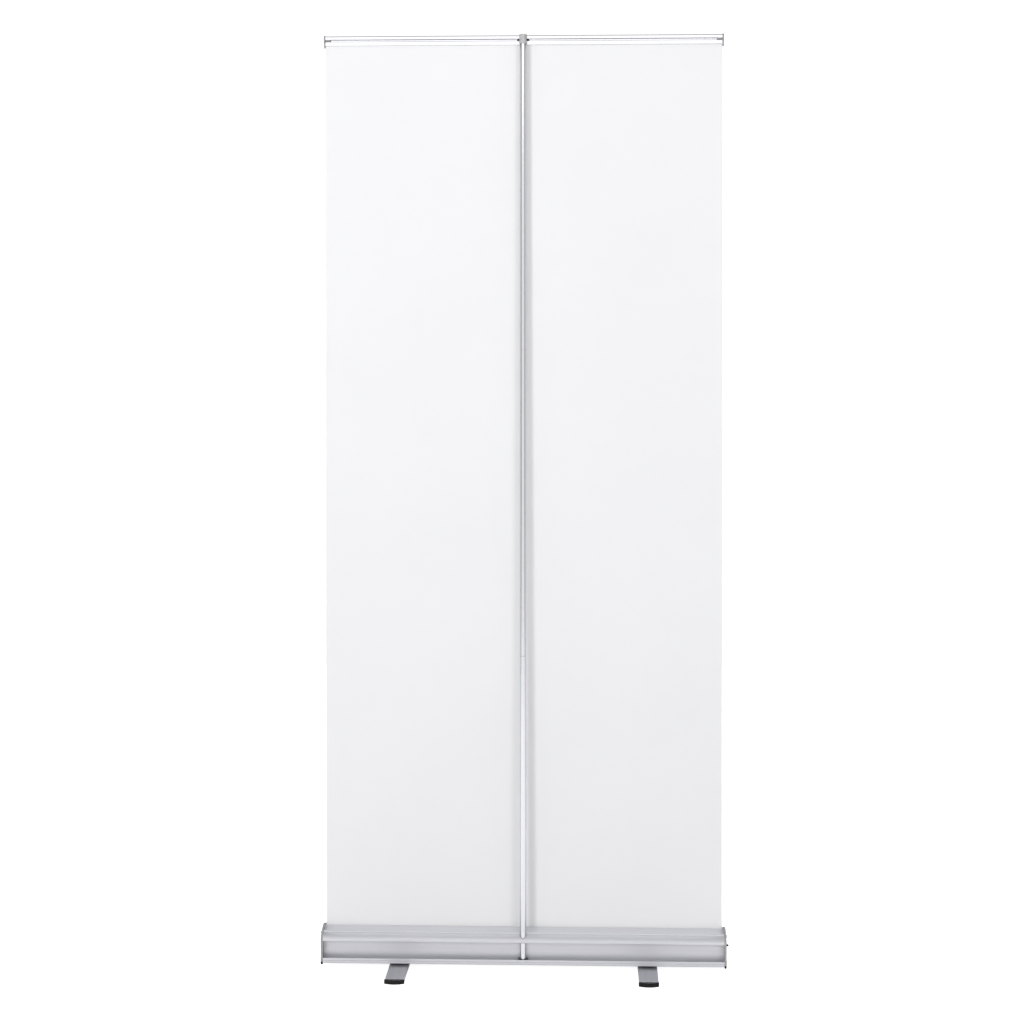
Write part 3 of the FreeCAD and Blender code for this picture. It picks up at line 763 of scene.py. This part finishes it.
def foot_cap(x, end, sizes):
    """One moulded cap, bowed in plan, with two shallow dimples on top and a tongue that goes into the bar."""
    bow_y = end * (CAP_TIP - CAP_BOW_RADIUS)
    cap = drum_piece("foot_cap", CAP_BOW_RADIUS, 0, CAP_TOP, x, bow_y, sides=192)
    near, far = sorted((end * BAR_END, end * (CAP_TIP + OVERLAP)))
    keep_low = (x - CAP_HALF_WIDTH, near, -OVERLAP)
    keep_high = (x + CAP_HALF_WIDTH, far, KEEP_TOP)
    combine(cap, "INTERSECT", box_piece("keep", keep_low, keep_high))
    pick_edges(cap, is_tip_corner)
    bpy.ops.mesh.bevel(offset=CAP_CORNER, segments=8, affect="EDGES")
    bpy.ops.object.mode_set(mode="OBJECT")
    round_edges(cap, sizes.cap_bevel, segments=5, sharper_than=28)
    dimple_y, dimple_z = end * (CAP_TIP - DIMPLE_BACK), CAP_TOP + DIMPLE_RADIUS - sizes.cap_dimple
    for side in (-1, 1):
        clear_selection()
        spot = (x + side * DIMPLE_APART, dimple_y, dimple_z)
        bpy.ops.mesh.primitive_uv_sphere_add(
            segments=48, ring_count=32, radius=DIMPLE_RADIUS, location=spot
        )
        combine(cap, "DIFFERENCE", started("dimple"))
    near, far = sorted((end * (BAR_END - TONGUE_LENGTH), end * (BAR_END + OVERLAP)))
    tongue_low = (x - TONGUE_HALF_WIDTH, near, TONGUE_LOW)
    tongue_high = (x + TONGUE_HALF_WIDTH, far, TONGUE_HIGH)
    combine(cap, "UNION", box_piece("tongue", tongue_low, tongue_high))
    settle(cap, 40)
    return cap


class BANNER_OT_foot_caps(bpy.types.Operator):
    """Moulds the four black caps on the feet's ends"""

    bl_idname = "banner.foot_caps"
    bl_label = "Foot caps"

    def execute(self, context):
        for side in SIDES:
            low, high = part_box(f"foot_bar_{side}")
            for name, end in ENDS:
                cap = foot_cap((low.x + high.x) / 2, end, context.scene.stand_sizes)
                cap.name = cap.data.name = f"moulded_foot_cap_{side}_{name}"
                dress(cap, MATERIALS["gloss_black"])
                place(cap, f"foot_{side}", "black_plastic", f"foot_cap_{side}_{name}")
        return {"FINISHED"}


HEAD_RADIUS, HEAD_HEIGHT = 8 * MM, 20 * MM
HEAD_CUP_RADIUS, HEAD_CUP_DEPTH = 5.2 * MM, 1.2 * MM
HEAD_PLUG_RADIUS, HEAD_PLUG_LENGTH = 5.4 * MM, 25 * MM
POCKET_HALF_WIDTH, POCKET_HEIGHT = 4.5 * MM, 3.8 * MM


class BANNER_OT_head(bpy.types.Operator):
    """Moulds the grey head of the pole, with its cupped top and the pocket for the hook"""

    bl_idname = "banner.head"
    bl_label = "Pole head"

    def execute(self, context):
        low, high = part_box("pole_head")
        x, y = (low.x + high.x) / 2, (low.y + high.y) / 2
        top_z, plug_z = high.z, high.z - HEAD_HEIGHT
        head = drum_piece("moulded_pole_head", HEAD_RADIUS, plug_z, top_z, x, y)
        cup = drum_piece("cup", HEAD_CUP_RADIUS, top_z - HEAD_CUP_DEPTH, top_z + OVERLAP, x, y)
        combine(head, "DIFFERENCE", cup)
        round_edges(head, context.scene.stand_sizes.head_bevel, segments=4, sharper_than=40)
        plug = drum_piece("plug", HEAD_PLUG_RADIUS, plug_z - HEAD_PLUG_LENGTH, plug_z + OVERLAP, x, y)
        combine(head, "UNION", plug)
        pocket_low = (-POCKET_HALF_WIDTH, HOOK_LOW.y, HOOK_LOW.z)
        pocket_high = (POCKET_HALF_WIDTH, HOOK_HIGH.y, HOOK_LOW.z + POCKET_HEIGHT)
        combine(head, "DIFFERENCE", box_piece("pocket", pocket_low, pocket_high))
        settle(head)
        dress(head, MATERIALS["head_plastic"])
        place(head, "pole_upper", "head_plastic", "pole_head")
        return {"FINISHED"}


# ---- Studio ----
FLOOR_SIZE = 9
FLOOR_MIRROR = 0.42             # share of the floor's glow that polished parts show
# In reflections the floor's glow is painted light, left out next to the cassette as a painted shadow under
# it.
MIRROR_FROM_Y, MIRROR_FULL_Y = -0.045, -0.08    # the shown glow begins in front of the cassette
WORLD_SEEN = 1.1                # the world's brightness to the camera
WORLD_BASE = 0.1                # its brightness to everything else, before the parts below
WORLD_PARTS = (                 # axis of the direction, where a part begins and is full, its amount
    ("Z", 0.5, 1.0, 0.2),
    ("Y", 0.0, -0.4, 0.42),
    ("Y", -0.75, -0.95, 0.35),
)


def soft_light(name, at, aim, size, power, mirrored=True):
    """A rectangular soft light, aimed at a place, that only reflections may show."""
    data = bpy.data.lights.new(name, "AREA")
    data.shape = "RECTANGLE"
    data.size, data.size_y = size
    data.energy = power
    light = bpy.data.objects.new(name, data)
    bpy.context.scene.collection.objects.link(light)
    light.location = at
    light.rotation_euler = (Vector(aim) - Vector(at)).to_track_quat("-Z", "Y").to_euler()
    light.visible_camera = False
    light.visible_glossy = mirrored


def studio_floor(colour, glow):
    """A pale floor that glows: evenly to the camera, and in reflections with painted light that stops short
    of the cassette as a painted shadow under it.
    """
    clear_selection()
    bpy.ops.mesh.primitive_plane_add(size=FLOOR_SIZE)
    floor = started("studio_floor")
    settle(floor)
    material, tree, shader, coordinates = new_material("Studio floor")
    mottle = noise_node(tree, coordinates, 2.0)
    tree.links.new(tinted(tree, mottle, scaled_colour(colour, 0.99), colour), shader.inputs["Base Color"])
    shader.inputs["Roughness"].default_value = 0.8
    shader.inputs["Specular IOR Level"].default_value = 0.1
    shader.inputs["Emission Color"].default_value = (1, 1, 1, 1)
    path = tree.nodes.new("ShaderNodeLightPath")
    axes = tree.nodes.new("ShaderNodeSeparateXYZ")
    tree.links.new(coordinates, axes.inputs[0])
    # painted shadow: the glow that reflections show fades out near the cassette
    away = ranged(
        tree, axes.outputs["Y"], 0, FLOOR_MIRROR, from_low=MIRROR_FROM_Y, from_high=MIRROR_FULL_Y
    )
    mirrored = math_node(tree, "MULTIPLY", path.outputs["Is Glossy Ray"], away)
    seen = math_node(tree, "ADD", path.outputs["Is Camera Ray"], mirrored)
    tree.links.new(math_node(tree, "MULTIPLY", seen, glow), shader.inputs["Emission Strength"])
    dress(floor, material)


def studio_world(scene):
    """White to the camera; to all else bright on the camera's side, dim around and a little lighter above."""
    world = bpy.data.worlds.new("Studio")
    scene.world = world
    world.use_nodes = True
    tree = world.node_tree
    background = tree.nodes["Background"]
    axes = tree.nodes.new("ShaderNodeSeparateXYZ")
    tree.links.new(tree.nodes.new("ShaderNodeTexCoord").outputs["Generated"], axes.inputs[0])
    total = WORLD_BASE
    for axis, begin, full, amount in WORLD_PARTS:
        part = ranged(tree, axes.outputs[axis], 0, amount, from_low=begin, from_high=full)
        total = math_node(tree, "ADD", part, total)
    seen = tree.nodes.new("ShaderNodeLightPath").outputs["Is Camera Ray"]
    choose = tree.nodes.new("ShaderNodeMix")
    choose.inputs["B"].default_value = WORLD_SEEN
    tree.links.new(seen, choose.inputs["Factor"])
    tree.links.new(total, choose.inputs["A"])
    tree.links.new(choose.outputs["Result"], background.inputs["Strength"])
    background.inputs["Color"].default_value = (1, 1, 1, 1)


class BANNER_OT_stage(bpy.types.Operator):
    """Lays the floor, hangs the lights and stands the camera"""

    bl_idname = "banner.stage"
    bl_label = "Studio"

    def execute(self, context):
        studio = context.scene.stand_studio
        studio_floor(tuple(context.scene.stand_colours.floor), studio.floor_glow)
        middle = (0, 0, 1.0)
        soft_light("bank_light", (-0.3, -2.8, 2.75), (0, 0, 1.3), (2.6, 1.2), studio.bank_power)
        soft_light("key_light", (-2.4, -4.0, 1.9), middle, (0.9, 1.8), studio.key_power, mirrored=False)
        soft_light("fill_light", (2.3, -4.0, 1.7), middle, (1.2, 2.0), studio.fill_power, mirrored=False)
        soft_light(
            "rear_light", (0.0, 3.2, 3.6), (0, 1.2, 0.0), (4.0, 2.5), studio.rear_power, mirrored=False
        )
        studio_world(context.scene)
        camera_data = bpy.data.cameras.new("camera")
        camera_data.lens = studio.lens
        camera_data.sensor_width = 36.0
        camera_data.shift_y = studio.rise
        camera = bpy.data.objects.new("camera", camera_data)
        context.scene.collection.objects.link(camera)
        camera.location = studio.camera_place
        camera.rotation_euler = (math.pi / 2, 0, studio.camera_turn)
        context.scene.camera = camera
        context.scene.view_settings.view_transform = "Standard"
        return {"FINISHED"}


# ---- Add-on ----
class BANNER_PT_panel(bpy.types.Panel):
    """The stand's pieces, one button each"""

    bl_idname = "BANNER_PT_panel"
    bl_label = "Banner Stand"
    bl_space_type = "VIEW_3D"
    bl_region_type = "UI"
    bl_category = "Banner Stand"

    def draw(self, context):
        for settings in ("stand_sizes", "stand_colours", "stand_studio"):
            group = getattr(context.scene, settings)
            for label in group.__annotations__:
                self.layout.prop(group, label)
        for step in STEPS:
            self.layout.operator(step.bl_idname)


SETTINGS = (
    ("stand_sizes", StandSizes),
    ("stand_colours", StandColours),
    ("stand_studio", StandStudio),
)
STEPS = (
    BANNER_OT_finishes,
    BANNER_OT_graphic,
    BANNER_OT_leader,
    BANNER_OT_foot_caps,
    BANNER_OT_head,
    BANNER_OT_stage,
)


def register():
    for name, group in SETTINGS:
        bpy.utils.register_class(group)
        setattr(bpy.types.Scene, name, bpy.props.PointerProperty(type=group))
    for step in (*STEPS, BANNER_PT_panel):
        bpy.utils.register_class(step)


def unregister():
    for step in (BANNER_PT_panel, *reversed(STEPS)):
        bpy.utils.unregister_class(step)
    for name, group in reversed(SETTINGS):
        delattr(bpy.types.Scene, name)
        bpy.utils.unregister_class(group)


def main():
    register()
    for step in STEPS:
        area, name = step.bl_idname.split(".")
        getattr(getattr(bpy.ops, area), name)()


if __name__ == "__main__":
    main()
